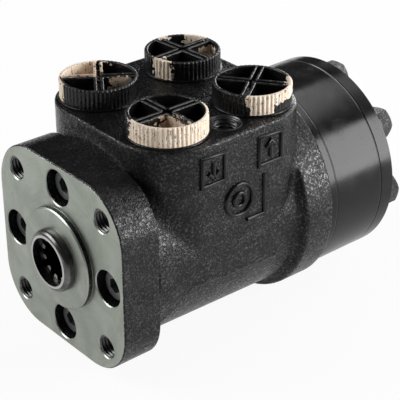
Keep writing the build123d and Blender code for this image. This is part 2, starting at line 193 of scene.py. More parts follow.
def castPaintNodes(make, coarse=1.0, shade=1.0):
    # gloss paint over sand-cast iron: broad ripples, worm-like grains about 1 mm wide and fine grit
    look, place = castLook, make.place()
    ripple, grain, grit = (
        make.noise(place, look[key][0] / coarse, *look[key][1:]) for key in ("ripple", "grain", "grit"))
    height = ripple * look["rippleHeight"] + grain + grit * look["gritHeight"]
    dark, pale = (tuple(c * shade for c in look[key]) for key in ("dark", "pale"))
    specks = make.spread(grain + grit * look["speckGrit"], *look["specks"])
    return {
        "Base Color": make.blend(make.spread(ripple, *look["tintFrom"]), dark, pale),
        "Roughness": make.between(grain, look["rough"]), "Normal": make.bump(height, look["depth"] * coarse),
        "Coat Weight": specks * make.spread(ripple, *look["speckDrift"]),
        "Coat Roughness": look["coatRough"], "Coat IOR": look["coatIor"], "IOR": look["ior"]}


def castPaint(name="castPaint", coarse=1.0, shade=1.0):
    make = Finish(name)
    return make.surface(make.principled(castPaintNodes(make, coarse, shade)))


smoothLook = {
    "lines": (1, 2, 0.6), "lineScale": (900, 40, 40), "lineHeight": 0.3,
    "waves": (110, 3, 0.5), "waveHeight": 0.9, "grain": (1400, 2, 0.6), "grainHeight": 0.30,
    "dust": (900, 1, 0.5), "dustFrom": (0.72, 0.78), "dustHeight": 0.5, "depth": 0.05,
    "joints": (114.0, 141.2), "jointFrom": (0.12, 0.42), "jointDepth": 0.22,
    "dark": (0.0062, 0.0060, 0.0066), "pale": (0.0105, 0.0102, 0.0108), "tintFrom": (0.3, 0.75),
    "rough": (0.14, 0.21), "ior": 1.33,
}


def smoothPaint(name="smoothPaint"):
    # the same black on turned steel: faint turning lines, soft waves, a few specks of dust and a fine groove
    # at each joint of the drum
    look, make = smoothLook, Finish(name)
    place = make.place()
    lines = make.noise(make.stretch(place, look["lineScale"]), *look["lines"])
    waves, grain = make.noise(place, *look["waves"]), make.noise(place, *look["grain"])
    dust = make.spread(make.noise(place, *look["dust"]), *look["dustFrom"])
    height = lines * look["lineHeight"] + waves * look["waveHeight"] + grain * look["grainHeight"]
    normal = make.bump(height + dust * look["dustHeight"], look["depth"])
    x = make.axes(place)[0] * 1000
    front, rear = ((x - joint).size() for joint in look["joints"])
    joint = make.spread(front.least(rear), *look["jointFrom"])
    return make.surface(make.principled({
        "Base Color": make.blend(make.spread(waves, *look["tintFrom"]), look["dark"], look["pale"]),
        "Roughness": make.between(waves, look["rough"]),
        "Normal": make.bump(joint, look["jointDepth"], below=normal), "IOR": look["ior"]}))


coverLook = {
    "side": 42.1, "corner": 23.0, "bossHeight": 2.6, "border": 0.5, "chamfer": 0.5, "paintShade": 1.25,
    "ragged": (1300, 3, 0.65), "raggedReach": 1.1, "raggedShare": 0.9, "faceTo": 0.45,
    # the wall range is the boss's machined side wall, which takes the black paint as painted shade
    "bossShadeFrom": 0.15, "bossShadeTo": -0.22,
    "arcs": (1.0, 3, 0.6), "arcScale": (2.2, 1.2), "swirl": (55, 4, 0.6, 0.8), "swirlMove": (0.02, 0.03, 0.01),
    "fine": (1800, 2, 0.6), "arcHeight": 0.8, "fineHeight": 0.5, "depth": 0.05,
    "dark": (0.325, 0.352, 0.306), "pale": (0.425, 0.455, 0.402), "tintFrom": (0.32, 0.68),
    "spots": (420, 2, 0.6), "spotFrom": (0.66, 0.74), "spotShare": 0.35, "spotTint": (0.12, 0.13, 0.11),
    "edgeTint": (0.36, 0.38, 0.35), "edgeFrom": 0.03, "bossEdge": 0.06, "rough": (0.32, 0.46),
}


def coverFinish():
    # machined grey on the mounting face and the boss, black paint on the cast sides with a ragged border, and
    # the same black on the machined side wall of the boss as painted shade
    look, make = coverLook, Finish("coverFinish")
    place = make.place()
    paint = make.principled(castPaintNodes(make, 1.0, look["paintShade"]))
    x, y, z = (axis * 1000 for axis in make.axes(place))
    flat, bossTop = look["side"] - look["corner"], -look["bossHeight"]
    inside = look["corner"] - (y.size() - flat).most(0.0).hypot((z.size() - flat).most(0.0))
    ragged = make.noise(place, *look["ragged"]) * look["raggedReach"] - look["raggedReach"] / 2
    onFace = (inside + ragged * look["raggedShare"] > look["border"]) * (x < look["faceTo"])
    # painted shade: the boss's side wall is given the black paint
    bossWallShade = (x > look["bossShadeFrom"] + bossTop + look["chamfer"]) * (x < look["bossShadeTo"])
    acrossScale, turnScale = look["arcScale"]
    polar = make.add("ShaderNodeCombineXYZ", inputs={
        "X": y.hypot(z) * acrossScale, "Y": y.angle(z) * turnScale, "Z": 0.0})
    arcs = make.noise(polar, *look["arcs"])
    swirl = make.noise(make.stretch(place, (1, 1, 1), look["swirlMove"]), *look["swirl"])
    fine = make.noise(place, *look["fine"])
    spots = make.spread(make.noise(place, *look["spots"]), *look["spotFrom"])
    metal = make.blend(make.spread(swirl, *look["tintFrom"]), look["dark"], look["pale"])
    metal = make.blend(spots * look["spotShare"], metal, look["spotTint"])
    edge = (x > look["edgeFrom"]) + (x < -look["edgeFrom"]) * (x > bossTop + look["bossEdge"])
    ground = make.principled({
        "Base Color": make.blend(edge.least(1.0), metal, look["edgeTint"]), "Metallic": 1.0,
        "Roughness": make.between(arcs, look["rough"]),
        "Normal": make.bump(arcs * look["arcHeight"] + fine * look["fineHeight"], look["depth"])})
    return make.surface(make.add("ShaderNodeMixShader", inputs={0: onFace * (1 - bossWallShade), 1: paint, 2: ground}))


hubLook = {
    "lines": (1, 2, 0.7), "lineScale": (2600, 90, 90), "cloud": (160, 3, 0.6), "depth": 0.02,
    # the rim tint is a painted highlight, the bore tint is painted shade, and the tooth tint paints the lit
    # faces of the teeth
    "dark": (0.085, 0.085, 0.086), "pale": (0.17, 0.17, 0.17), "rimHighlightTint": (0.55, 0.55, 0.53),
    "boreShadeTint": (0.018, 0.018, 0.019), "litToothTint": (0.50, 0.50, 0.49), "toothMatt": 0.8, "rough": (0.24, 0.36),
    "rimRear": -6.45, "rimRadius": 11.6, "toothFace": (-2.1, -1.9), "toothRadius": 10.25,
    "boreFront": -6.4, "boreRadius": 10.45,
}


def hubFinish():
    # dark ground steel with painted light: a painted highlight makes the rim brighter, painted shade makes the
    # bore between the teeth near black, and the tooth faces are painted lighter as their lit side
    look, make = hubLook, Finish("hubFinish")
    place = make.place()
    x, y, z = make.axes(place)
    x, radius = x * 1000, y.hypot(z) * 1000
    lines = make.noise(make.stretch(place, look["lineScale"]), *look["lines"])
    cloud = make.noise(place, *look["cloud"])
    toothFront, toothRear = look["toothFace"]
    # painted highlight: the rim at the hub's front is made much lighter than the rest of the steel
    rim = (x < look["rimRear"]) * (radius < look["rimRadius"])
    # painted light: the tooth front faces are made a lighter, matter grey as the lit side of the same steel
    teeth = (x < toothRear) * (x > toothFront) * (radius < look["toothRadius"])
    # painted shade: the bore's walls behind the teeth are made near black
    shadedBore = (radius < look["boreRadius"]) * (x > look["boreFront"]) * (1 - teeth)
    tint = make.blend(make.spread(cloud), look["dark"], look["pale"])
    for mask, layer in ((rim, "rimHighlightTint"), (shadedBore, "boreShadeTint"), (teeth, "litToothTint")):
        tint = make.blend(mask, tint, look[layer])
    return make.surface(make.principled({
        "Base Color": tint, "Metallic": 1 - teeth * look["toothMatt"],
        "Roughness": make.between(lines, look["rough"]), "Normal": make.bump(lines + cloud, look["depth"])}))


steelLook = {
    "lines": (1, 2, 0.7), "lineScale": (2200, 60, 60), "cloud": (90, 3, 0.6), "depth": 0.02, "scratch": 0.5,
    "darker": 0.8, "roughRange": 0.12,
}


def bareSteel(name, tint, rough):
    # ground or turned steel with fine lines round the shaft and cloudy patches
    look, make = steelLook, Finish(name)
    place = make.place()
    lines = make.noise(make.stretch(place, look["lineScale"]), *look["lines"])
    cloud = make.noise(place, *look["cloud"])
    return make.surface(make.principled({
        "Base Color": make.blend(make.spread(cloud), tuple(look["darker"] * c for c in tint), tint),
        "Metallic": 1.0, "Roughness": make.between(lines, (rough, rough + look["roughRange"])),
        "Normal": make.bump(lines, look["depth"], look["scratch"])}))


plainLook = {"grain": (3, 0.6), "cloud": (120, 2, 0.5), "darker": 0.75, "roughRange": 0.12}


def plainFinish(name, tint, rough, grainScale=700, depth=0.02, metallic=0.0):
    # moulded or blacked pieces: a little mottling and a fine grain
    look, make = plainLook, Finish(name)
    place = make.place()
    grain, cloud = make.noise(place, grainScale, *look["grain"]), make.noise(place, *look["cloud"])
    return make.surface(make.principled({
        "Base Color": make.blend(make.spread(cloud), tuple(look["darker"] * c for c in tint), tint),
        "Metallic": metallic, "Roughness": make.between(grain, (rough, rough + look["roughRange"])),
        "Normal": make.bump(grain, depth)}))


plugLook = {
    "tear": (480, 3, 0.6), "tearReach": 10, "heightWeight": 2.0, "creamFrom": 0.85,
    "drips": (1, 1, 0.5), "dripScale": (1500, 1500, 260), "dripFrom": (0.66, 0.69),
    "specks": (1500, 1, 0.5), "speckFrom": (0.66, 0.70), "speckShare": 0.95,
    "cloud": (260, 3, 0.6), "dark": (0.84, 0.67, 0.51), "pale": (0.93, 0.81, 0.68),
    # the brown that darkens the middle of the plug is painted shade on the pocket floor
    "pocketShade": (0.30, 0.17, 0.09), "pocketShadeByRadius": (9.0, 15.0, 0.65, 0.0), "pocketShadeByCloud": (0.25, 0.6),
    # the lighter black on the plug tops is a painted sheen
    "paint": (0.0060, 0.0060, 0.0064), "wornAndSheenPaint": (0.040, 0.040, 0.042), "sheenFrom": (8.2, 8.9),
    "sheenByCloud": (0.3, 0.6), "runs": (700, 3, 0.6, 0.4), "depth": 0.28, "rough": (0.46, 0.15), "ior": 1.40,
}


def plugFinish(name, middle, patches):
    # cream plastic with black overspray; each patch of bare cream is a turn about the plug's middle and
    # ranges of height and radius, and noise tears its border
    look, make = plugLook, Finish(name)
    place = make.place()
    x, y, z = (axis * 1000 - centre for axis, centre in zip(make.axes(place), middle))
    radius = x.hypot(y)
    tear = make.noise(place, *look["tear"]) * look["tearReach"] - look["tearReach"] / 2
    cream = None
    for azimuth, half, low, high, inner, outer in patches:
        a = math.radians(azimuth)
        along, aside = x * math.cos(a) + y * math.sin(a), (y * math.cos(a) - x * math.sin(a)).size()
        reach = (math.radians(half) - aside.angle(along)) * radius
        reach = reach.least((z - low) * look["heightWeight"]).least((high - z) * look["heightWeight"])
        bare = (reach + tear > 0.0) * (radius > inner) * (radius < outer)
        cream = bare if cream is None else cream.most(bare)
    drips = make.noise(make.stretch(place, look["dripScale"]), *look["drips"])
    specks = make.spread(make.noise(place, *look["specks"]), *look["speckFrom"])
    specks = specks.most(make.spread(drips, *look["dripFrom"]))
    paint = (1 - cream * (z > look["creamFrom"])).most(specks * look["speckShare"])
    cloud = make.noise(place, *look["cloud"])
    plastic = make.blend(make.spread(cloud), look["dark"], look["pale"])
    # painted shade: a brown darkening towards the middle of the plug, over the pocket floor, mottled by the
    # cloud
    pocketShade = make.spread(radius, *look["pocketShadeByRadius"]) * make.spread(cloud, *look["pocketShadeByCloud"])
    plastic = make.blend(pocketShade, plastic, look["pocketShade"])
    # painted sheen: the black is lighter on the tops above 8.2 mm, mottled by the cloud
    topSheen = make.spread(z, *look["sheenFrom"]) * make.spread(cloud, *look["sheenByCloud"])
    black = make.blend(topSheen, look["paint"], look["wornAndSheenPaint"])
    roughCream, roughPaint = look["rough"]
    return make.surface(make.principled({
        "Base Color": make.blend(paint, plastic, black),
        "Roughness": make.spread(paint, 0.0, 1.0, roughCream, roughPaint),
        "Normal": make.bump(make.noise(place, *look["runs"]) * paint, look["depth"]), "IOR": look["ior"]}))


slotOf = {entry["node"]: entry["material_slot"] for entry in frame["record"]["subparts"]}
bodyOf = {name: body for body, members in frame["record"]["behaviour"]["bodies"].items() for name in members}
paints = {
    "painted_casting": castPaint(),
    "cover_casting": coverFinish(),
    "painted_steel": smoothPaint(),
    "black_screws": plainFinish("blackedScrews", (0.16, 0.162, 0.165), 0.36, 900, 0.03, 0.8),
    "rubber_seals": plainFinish("sealRubber", (0.014, 0.014, 0.015), 0.6),
    "ground_steel": bareSteel("groundSteel", (0.50, 0.50, 0.49), 0.22),
    "bearing_steel": bareSteel("bearingSteel", (0.62, 0.61, 0.59), 0.14),
    "spring_steel": bareSteel("springSteel", (0.30, 0.32, 0.38), 0.28),
    "backup_plastic": plainFinish("backupPlastic", (0.70, 0.66, 0.55), 0.5),
    "cream_plastic": plainFinish("creamPlastic", (0.75, 0.60, 0.44), 0.45),
}
print("finishes made")


def dress(piece, finish):
    piece.data.materials.clear()
    piece.data.materials.append(finish)


def putMesh(label, points, faces, sharpAngle=40):
    # points in metres; the faces are turned outwards if the closed surface has a negative volume
    points = np.asarray(points, float).reshape(-1, 3)
    volume = 0.0
    for group in faces:
        a, b, c = (points[group[:, k]] for k in (0, 1, 2))
        volume += np.sum(a * np.cross(b, c))
        if group.shape[1] == 4:
            volume += np.sum(a * np.cross(c, points[group[:, 3]]))
    if volume < 0:
        faces = [group[:, ::-1] for group in faces]
    mesh = bpy.data.meshes.new(label)
    mesh.from_pydata(points.tolist(), [], [face for group in faces for face in group.tolist()])
    mesh.polygons.foreach_set("use_smooth", np.ones(len(mesh.polygons), bool))
    mesh.update()
    mesh.set_sharp_from_angle(angle=math.radians(sharpAngle))
    piece = bpy.data.objects.new(label, mesh)
    bpy.context.scene.collection.objects.link(piece)
    return piece


def joinGrids(grids):
    # several closed grids as one set of points and faces
    points, faces, start = [], [], 0
    for gridPoints, gridFaces in grids:
        points.append(gridPoints)
        faces += [group + start for group in gridFaces]
        start += len(gridPoints)
    return np.concatenate(points), faces


def poleGrid(rings):
    # rings[i, j] is row i of a surface closed round j; its first and last rows are single points
    rows, count = rings.shape[:2]
    points = np.concatenate([rings[0, :1], rings[1:-1].reshape(-1, 3), rings[-1, :1]])
    row = 1 + np.arange(rows - 3)[:, None] * count
    j = np.arange(count)
    k = (j + 1) % count
    quads = np.stack([row + j, row + k, row + count + k, row + count + j], -1).reshape(-1, 4)
    last = 1 + (rows - 3) * count
    top = np.stack([np.zeros(count, int), 1 + k, 1 + j], -1)
    bottom = np.stack([np.full(count, len(points) - 1), last + j, last + k], -1)
    return points, [quads, top, bottom]


def ringGrid(rings):
    # rings[i, j] closed both ways, like a torus
    rows, count = rings.shape[:2]
    i, j = np.meshgrid(np.arange(rows), np.arange(count), indexing="ij")
    nextRow, nextColumn = (i + 1) % rows, (j + 1) % count
    quads = np.stack([
        i * count + j, i * count + nextColumn, nextRow * count + nextColumn, nextRow * count + j], -1)
    return rings.reshape(-1, 3), [quads.reshape(-1, 4)]


def mergedCopy(name, label, sharpAngle=30):
    # the node's triangles joined where their corners lie within a micron, smooth except at real edges
    source = nodes[name]
    points = np.empty(3 * len(source.data.vertices), np.float32)
    source.data.vertices.foreach_get("co", points)
    corners = np.empty(len(source.data.loops), np.int32)
    source.data.loops.foreach_get("vertex_index", corners)
    points = points.reshape(-1, 3)
    microns = np.round(points * 1e6).astype(np.int64)
    _, first, match = np.unique(microns, axis=0, return_index=True, return_inverse=True)
    faces = match.reshape(-1)[corners].reshape(-1, 3)
    good = (faces[:, 0] != faces[:, 1]) & (faces[:, 1] != faces[:, 2]) & (faces[:, 0] != faces[:, 2])
    return putMesh(label, points[first], [faces[good]], sharpAngle)


def standIn(piece, name, finish=None):
    # the piece takes the node's place, rides on its body and is dressed in the finish of the node's material
    # slot unless another finish is given
    dress(piece, finish or paints[slotOf[name]])
    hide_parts(name)
    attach(piece, bodyOf[name])


def added(piece, body, finish):
    # a piece that stands beside the nodes
    dress(piece, finish)
    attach(piece, body)


# mm; sourceCorner is the CAD block's corner, and near and mostMove say which points move and how far
casting = {
    "coverRear": 17.8, "rear": 109.0, "frontRadius": 42.4, "rearRadius": 43.5,
    "flangeRadius": 47.2, "flangeFront": 93.5, "flangeEdge": 1.6,
    "blockMiddle": 61.0, "blockHalf": 42.5, "blockCorner": 23.8, "sourceCorner": 20.0,
    "blockTop": 53.0, "blockEdge": 1.1, "blockBlend": 7.0, "flangeBlend": 3.0,
    "voxel": 0.95, "near": 0.9, "mostMove": 3.0, "moves": 6,
    "leastBlend": 0.001, "leastSlope": 0.2, "slopeStep": 0.02,
    "ports": [(38.5, -22.5), (38.5, 22.5), (83.5, -22.5), (83.5, 22.5)], "portKeep": 11.6,
    "pilot": (61.0, -31.0), "pilotKeep": 7.4,
}


def corner(first, second, edge):
    # distance to two crossing walls whose outer edge is rounded by edge
    first, second = first + edge, second + edge
    outer = np.hypot(np.maximum(first, 0), np.maximum(second, 0))
    return outer + np.minimum(np.maximum(first, second), 0) - edge


def barrelField(p):
    # distance outside the tapered barrel
    share = (p[:, 0] - casting["coverRear"]) / (casting["rear"] - casting["coverRear"])
    taper = share * (casting["rearRadius"] - casting["frontRadius"])
    return np.hypot(p[:, 1], p[:, 2]) - casting["frontRadius"] - taper


def flangeField(p):
    # distance outside the round rear flange
    radial = np.hypot(p[:, 1], p[:, 2]) - casting["flangeRadius"]
    return corner(radial, casting["flangeFront"] - p[:, 0], casting["flangeEdge"])


def blockField(p, bend=casting["blockCorner"]):
    # distance outside the port block, a square prism with rounded corners and a rounded top edge
    flat = casting["blockHalf"] - bend
    a, b = np.abs(p[:, 0] - casting["blockMiddle"]) - flat, np.abs(p[:, 1]) - flat
    wall = np.hypot(np.maximum(a, 0), np.maximum(b, 0)) + np.minimum(np.maximum(a, b), 0) - bend
    return corner(wall, p[:, 2] - casting["blockTop"], casting["blockEdge"])


def slope(field, p):
    # gradient from central differences
    step = casting["slopeStep"]
    moves = np.eye(3) * step
    return np.stack([(field(p + m) - field(p - m)) / (2 * step) for m in moves], 1)


def castUnion(first, second, radius):
    # two forms joined by a round fillet: r - hypot(r - a, r - b) where both distances a and b are under r, and
    # r is the radius, made less where the walls already run the same way
    def field(p):
        a, b = first(p), second(p)
        turn = 1 - np.sum(slope(first, p) * slope(second, p), 1)
        r = np.maximum(radius * np.clip(turn, 0, 1), casting["leastBlend"])
        return np.maximum(r, np.minimum(a, b)) - np.hypot(np.maximum(r - a, 0), np.maximum(r - b, 0))
    return field


def bodySkin():
    # the casting meshed evenly, then every outer point moved along the slope on to the filleted form
    draft = mergedCopy("valve_body", "bodyDraft")
    fill = draft.modifiers.new("even", "REMESH")
    fill.mode = "VOXEL"
    fill.voxel_size = casting["voxel"] * mm
    even = bpy.data.meshes.new_from_object(draft.evaluated_get(bpy.context.evaluated_depsgraph_get()))
    bpy.data.objects.remove(draft)
    p = np.empty(3 * len(even.vertices), np.float32)
    even.vertices.foreach_get("co", p)
    p = p.reshape(-1, 3).astype(float) * 1000
    sharp = np.minimum(np.minimum(barrelField(p), flangeField(p)), blockField(p, casting["sourceCorner"]))
    outer = np.abs(sharp) < casting["near"]
    for x, y in casting["ports"]:
        outer &= np.hypot(p[:, 0] - x, p[:, 1] - y) > casting["portKeep"]
    outer &= np.hypot(p[:, 0] - casting["pilot"][0], p[:, 1] - casting["pilot"][1]) > casting["pilotKeep"]
    field = castUnion(barrelField, blockField, casting["blockBlend"])
    field = castUnion(field, flangeField, casting["flangeBlend"])
    q = p[outer]
    for _ in range(casting["moves"]):
        away = slope(field, q)
        q = q - (field(q) / np.maximum(np.sum(away * away, 1), casting["leastSlope"]))[:, None] * away
    move = q - p[outer]
    far = np.maximum(np.linalg.norm(move, axis=1), 1e-6)
    p[outer] += move * np.minimum(1, casting["mostMove"] / far)[:, None]
    shrink = np.minimum(1, casting["flangeRadius"] / np.hypot(p[:, 1], p[:, 2]))
    p[:, 1:] = np.where((p[:, 2] < 0)[:, None], p[:, 1:] * shrink[:, None], p[:, 1:])
    p[:, 0] = np.clip(p[:, 0], casting["coverRear"], casting["rear"])
    even.vertices.foreach_set("co", (p / 1000).astype(np.float32).ravel())
    even.polygons.foreach_set("use_smooth", np.ones(len(even.polygons), bool))
    even.update()
    even.name = "bodySkin"
    piece = bpy.data.objects.new("bodySkin", even)
    bpy.context.scene.collection.objects.link(piece)
    print("body skin", len(even.polygons), "faces")
    return piece


standIn(bodySkin(), "valve_body")
# the end bolts' lighter black is their scuffed paint
ownFinish = {"end_bolts": castPaint("wornAndSheenPaint", coarse=0.8, shade=2.8), "spool": hubFinish()}
for name in ("front_cover", "cover_screws", "distributor_plate", "gerotor_ring", "end_cover", "bolt_washers",
             "end_bolts", "spool"):
    standIn(mergedCopy(name, name + "Skin"), name, ownFinish.get(name))
print("smooth copies done")


thread = {
    "pitch": 1.5, "depth": 0.75, "flank": 1.25, "rootFlat": 0.1, "wall": 0.03, "sides": 48, "rowsPerTurn": 9,
    "radius": 5.0, "start": 0.55, "end": 13.9, "reach": 29.17,
    "portRadius": 5.75, "portTop": 52.0, "portEnd": 42.2, "portSides": 56,
    "rimOuter": 7.6, "rimInner": 6.85, "rimFoot": 52.2, "rimTop": 53.04, "rimBevel": (0.25, 0.15),
    "throat": (5.85, 52.05), "sharp": 60, "portSharp": 35,
    "steel": ((0.13, 0.135, 0.13), 0.30), "portSteel": ((0.15, 0.15, 0.155), 0.32),
}


def threadRings(radius, start, end, count):
    # rows along the screw line s: the inner wall is radius - depth * tooth, where tooth rises and falls once in
    # each pitch of s / pitch + angle / (2 pi), and a plain wall closes it behind
    rows = int((end - start) / thread["pitch"] * thread["rowsPerTurn"])
    s = np.linspace(start, end, rows)[:, None]
    angle = np.linspace(0, 2 * np.pi, count, endpoint=False)[None, :]
    phase = (s / thread["pitch"] + angle / (2 * np.pi)) % 1.0
    tooth = np.clip(thread["flank"] * (1 - np.abs(2 * phase - 1)) - thread["rootFlat"], 0, 1)
    inner = radius - thread["wall"] - thread["depth"] * tooth
    wall = np.full((2, count), radius + thread["wall"])
    r = np.concatenate([inner, wall])
    back = np.broadcast_to([[end], [start]], (2, count))
    along = np.concatenate([np.broadcast_to(s, (rows, count)), back])
    return r * np.cos(angle), r * np.sin(angle), along


def cornerThreads():
    # a thread in each of the four tapped corner holes
    a, b, s = threadRings(thread["radius"], thread["start"], thread["end"], thread["sides"])
    grids = []
    for y in (-thread["reach"], thread["reach"]):
        for z in (-thread["reach"], thread["reach"]):
            grids.append(ringGrid(np.stack([s, a + y, b + z], -1) * mm))
    points, faces = joinGrids(grids)
    piece = putMesh("cornerThreads", points, faces, thread["sharp"])
    added(piece, "housing", bareSteel("threadSteel", *thread["steel"]))


def pilotThread():
    # the small port: a turned rim on the casting, a chamfer and its thread
    x, y = casting["pilot"]
    count, outer, top = thread["portSides"], thread["rimOuter"], thread["rimTop"]
    inward, down = thread["rimBevel"]
    rim = np.array([(outer, thread["rimFoot"]), (outer, top - down), (outer - inward, top),
                    (thread["rimInner"], top), thread["throat"]])
    a, b, s = threadRings(thread["portRadius"], -thread["portTop"], -thread["portEnd"], count)
    angle = np.linspace(0, 2 * np.pi, count, endpoint=False)
    a = np.concatenate([rim[:, :1] * np.cos(angle), a])
    b = np.concatenate([rim[:, :1] * np.sin(angle), b])
    height = np.concatenate([np.broadcast_to(rim[:, 1:], (len(rim), count)), -s])
    points, faces = ringGrid(np.stack([a + x, b + y, height], -1) * mm)
    piece = putMesh("pilotThread", points, faces, thread["portSharp"])
    added(piece, "housing", bareSteel("portSteel", *thread["portSteel"]))


cornerThreads()
pilotThread()
print("threads done")


# each patch of bare cream: middle and half width in degrees, heights from and to, radii from and to
plug = {
    "flutes": 56, "fluteDepth": 0.42, "fluteSharp": 1.6, "stepsPerFlute": 8, "radius": 16.5,
    "lipRadius": 17.2, "lip": 0.8, "height": 9.0, "rim": 1.7, "pocket": 5.5,
    "rib": 1.25, "ribBend": 0.85, "ribEdge": 0.42, "ribTop": 0.03, "sunk": 0.2, "intoRim": 0.5,
    "slot": 1.6, "slotDepth": 3.0, "slotExtra": 0.7, "slotEdge": 0.1,
    "shankRadius": 9.0, "shankLength": 11.0, "shankWall": 1.8, "sharp": 50,
    "port_plug_tank": {"turn": 0.0, "cream": [
        (-102, 92, -1, 10, 15.3, 18), (-123, 38, 2, 8.4, 2.2, 15.4)]},
    "port_plug_left": {"turn": 55.0, "cream": [
        (147, 24, -1, 10, 15.8, 18), (101, 44, 2, 10, 0.9, 18), (44, 8, 8, 10, 3.0, 15),
        (-50, 13, 4, 8.6, 4.0, 14)]},
    "port_plug_pump": {"turn": 36.0, "cream": [
        (-116, 18, -1, 10, 15.3, 18), (-84, 58, 4.2, 10, 15.3, 18), (-40, 14, 7, 10, 13.0, 18)]},
    "port_plug_right": {"turn": 4.0, "cream": [
        (-162, 16, -1, 10, 15.0, 18), (-158, 9, 7, 10, 11.5, 16), (86, 12, 3, 10, 14.2, 17),
        (28, 20, 4, 10, 13.5, 17), (-8, 18, 2, 7, 8.0, 15)]},
}


def plugShell():
    # profile of radius and height from the pocket floor over the rim and lip to the shank, turned about the
    # plug's axis; its third column says how much of the flute each row takes, where the radius is less by
    # fluteDepth * ((1 + cos(flutes * turn)) / 2) ** fluteSharp
    out, top = plug["radius"], plug["height"]
    well, floor = out - plug["rim"], top - plug["pocket"]
    lip, lipOut, shank, foot = plug["lip"], plug["lipRadius"], plug["shankRadius"], -plug["shankLength"]
    hollow = shank - plug["shankWall"]
    profile = np.array([
        (0, floor, 0), (well - 0.8, floor, 0), (well - 0.2, floor + 0.2, 0), (well, floor + 0.8, 0),
        (well, top - 0.5, 0), (well + 0.15, top - 0.12, 0), (well + 0.45, top, 0), (out - 0.75, top, 0.3),
        (out - 0.35, top - 0.08, 0.7), (out - 0.08, top - 0.35, 1), (out, top - 0.8, 1), (out, top - 4, 1),
        (out, lip + 0.5, 1), (out, lip + 0.12, 0.6), (out + 0.2, lip, 0), (lipOut - 0.2, lip, 0),
        (lipOut, lip - 0.2, 0), (lipOut, 0.15, 0), (lipOut - 0.15, 0.01, 0), (shank, 0.01, 0),
        (shank, foot + 0.3, 0), (shank - 0.3, foot, 0), (hollow, foot, 0), (hollow, 0, 0), (0, 0, 0)])
    count = plug["flutes"] * plug["stepsPerFlute"]
    angle = np.linspace(0, 2 * np.pi, count, endpoint=False)
    wave = (1 + np.cos(plug["flutes"] * angle)) / 2
    radius = profile[:, :1] - plug["fluteDepth"] * profile[:, 2:] * wave ** plug["fluteSharp"]
    height = np.broadcast_to(profile[:, 1:2], radius.shape)
    return poleGrid(np.stack([radius * np.cos(angle), radius * np.sin(angle), height], -1))


def carriedBar(path, width, low, high, edge):
    # a bar with a rounded top: its section of side and height carried along a level path, at right angles to
    # it, with the ends closed to a point
    along = np.gradient(path, axis=0)
    along /= np.linalg.norm(along, axis=1)[:, None]
    side = np.stack([-along[:, 1], along[:, 0]], 1)
    turn = np.linspace(0, np.pi / 2, 5)
    half = width / 2
    right = np.stack([half - edge + edge * np.cos(turn), high - edge + edge * np.sin(turn)], 1)
    left = right[::-1] * (-1, 1)
    section = np.concatenate([[(half, low)], right, left, [(-half, low)]])
    rings = np.empty((len(path) + 2, len(section), 3))
    rings[1:-1, :, :2] = path[:, None] + side[:, None] * section[None, :, :1]
    rings[1:-1, :, 2] = section[:, 1]
    for end, row in ((0, 0), (-1, -1)):
        rings[row, :, :2], rings[row, :, 2] = path[end], (low + high) / 2
    return poleGrid(rings)


def plugCross():
    # four ribs bent round the quarters and two bars that are the floors of the slots
    middle = plug["slot"] / 2 + plug["rib"] / 2
    end, bend = plug["radius"] - plug["rim"] + plug["intoRim"], plug["ribBend"]
    turn = np.linspace(1.5 * np.pi, np.pi, 7)
    elbow = np.stack([middle + bend + bend * np.cos(turn), middle + bend + bend * np.sin(turn)], 1)
    firstRun = np.stack([np.linspace(end, middle + bend + 0.3, 8), np.full(8, middle)], 1)
    path = np.concatenate([firstRun, elbow, firstRun[::-1, ::-1]])
    floor, top = plug["height"] - plug["pocket"] - plug["sunk"], plug["height"] - plug["ribTop"]
    bars = []
    for quarter in range(4):
        a = quarter * np.pi / 2
        spin = np.array([[np.cos(a), np.sin(a)], [-np.sin(a), np.cos(a)]])
        bars.append(carriedBar(path @ spin, plug["rib"], floor, top, plug["ribEdge"]))
    slotPath = np.stack([np.linspace(-end, end, 9), np.zeros(9)], 1)
    slotWidth, slotTop = plug["slot"] + plug["slotExtra"], plug["height"] - plug["slotDepth"]
    for run in (slotPath, slotPath[:, ::-1]):
        bars.append(carriedBar(run, slotWidth, floor, slotTop, plug["slotEdge"]))
    return bars


def portPlugs():
    # each plug is its shell and cross, turned by its own angle and set on its port
    shell, cross = plugShell(), plugCross()
    for name in ("port_plug_tank", "port_plug_left", "port_plug_pump", "port_plug_right"):
        (lowX, lowY, _), (highX, highY, top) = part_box(name)
        middle = np.array([(lowX + highX) / 2, (lowY + highY) / 2, top - plug["height"] * mm]) * 1000
        a = math.radians(plug[name]["turn"])
        spin = np.array([[math.cos(a), math.sin(a), 0], [-math.sin(a), math.cos(a), 0], [0, 0, 1]])
        points, faces = joinGrids([shell, *cross])
        piece = putMesh(name + "Fluted", (points @ spin + middle) * mm, faces, plug["sharp"])
        standIn(piece, name, plugFinish(name + "Paint", middle, plug[name]["cream"]))


portPlugs()
print("plugs done")


# places on the side wall as x and z, and the ring as x, z and radius
marks = {
    "wall": -42.5, "width": 1.5, "height": 1.1, "foot": 0.35, "sunk": 1.2, "leastMitre": 0.4, "sharp": 60,
    "frames": [
        [(39.4, 47.6), (51.1, 47.6), (51.1, 35.4), (39.4, 35.4)],
        [(69.4, 47.6), (81.6, 47.6), (81.6, 35.2), (69.4, 35.2)]],
    "arrows": [[(45.25, 45.2), (45.25, 38.0)], [(75.5, 37.8), (75.5, 45.0)]],
    "arrowHead": 2.6, "ring": (59.0, 23.6, 7.0), "ringSides": 40, "innerRing": 0.42,
    "line": [(72.4, 31.0), (72.8, 12.6), (63.3, 12.8)],
}


